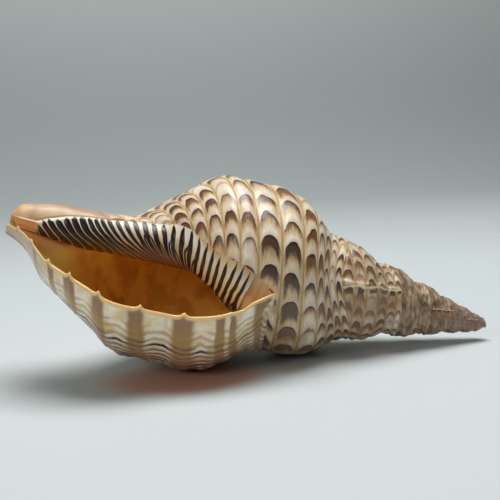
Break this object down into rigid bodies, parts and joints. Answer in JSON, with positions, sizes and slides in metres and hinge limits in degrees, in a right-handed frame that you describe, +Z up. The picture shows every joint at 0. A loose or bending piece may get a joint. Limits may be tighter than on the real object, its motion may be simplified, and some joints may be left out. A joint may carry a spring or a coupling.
{
  "type": "triton's trumpet sea shell",
  "caption": "Large spiral sea shell lying on its side, with a swollen body whorl, a tall pointed spire and a wide flared mouth with a toothed, scalloped lip.",
  "frame": {"origin": "on the surface that the shell rests on, under the middle of its bounding box", "axes": "+X from the canal to the apex along the shell's length, +Z up; the mouth opens up and towards -Y"},
  "size_m": [0.3382, 0.1532, 0.1287],
  "materials": {
    "shell": "glossy cream shell with rows of maroon brown crescents on its ribs, a dark striped inner lip and an amber mouth"
  },
  "bodies": {
    "root": {"shell": "shell"}
  },
  "joints": []
}
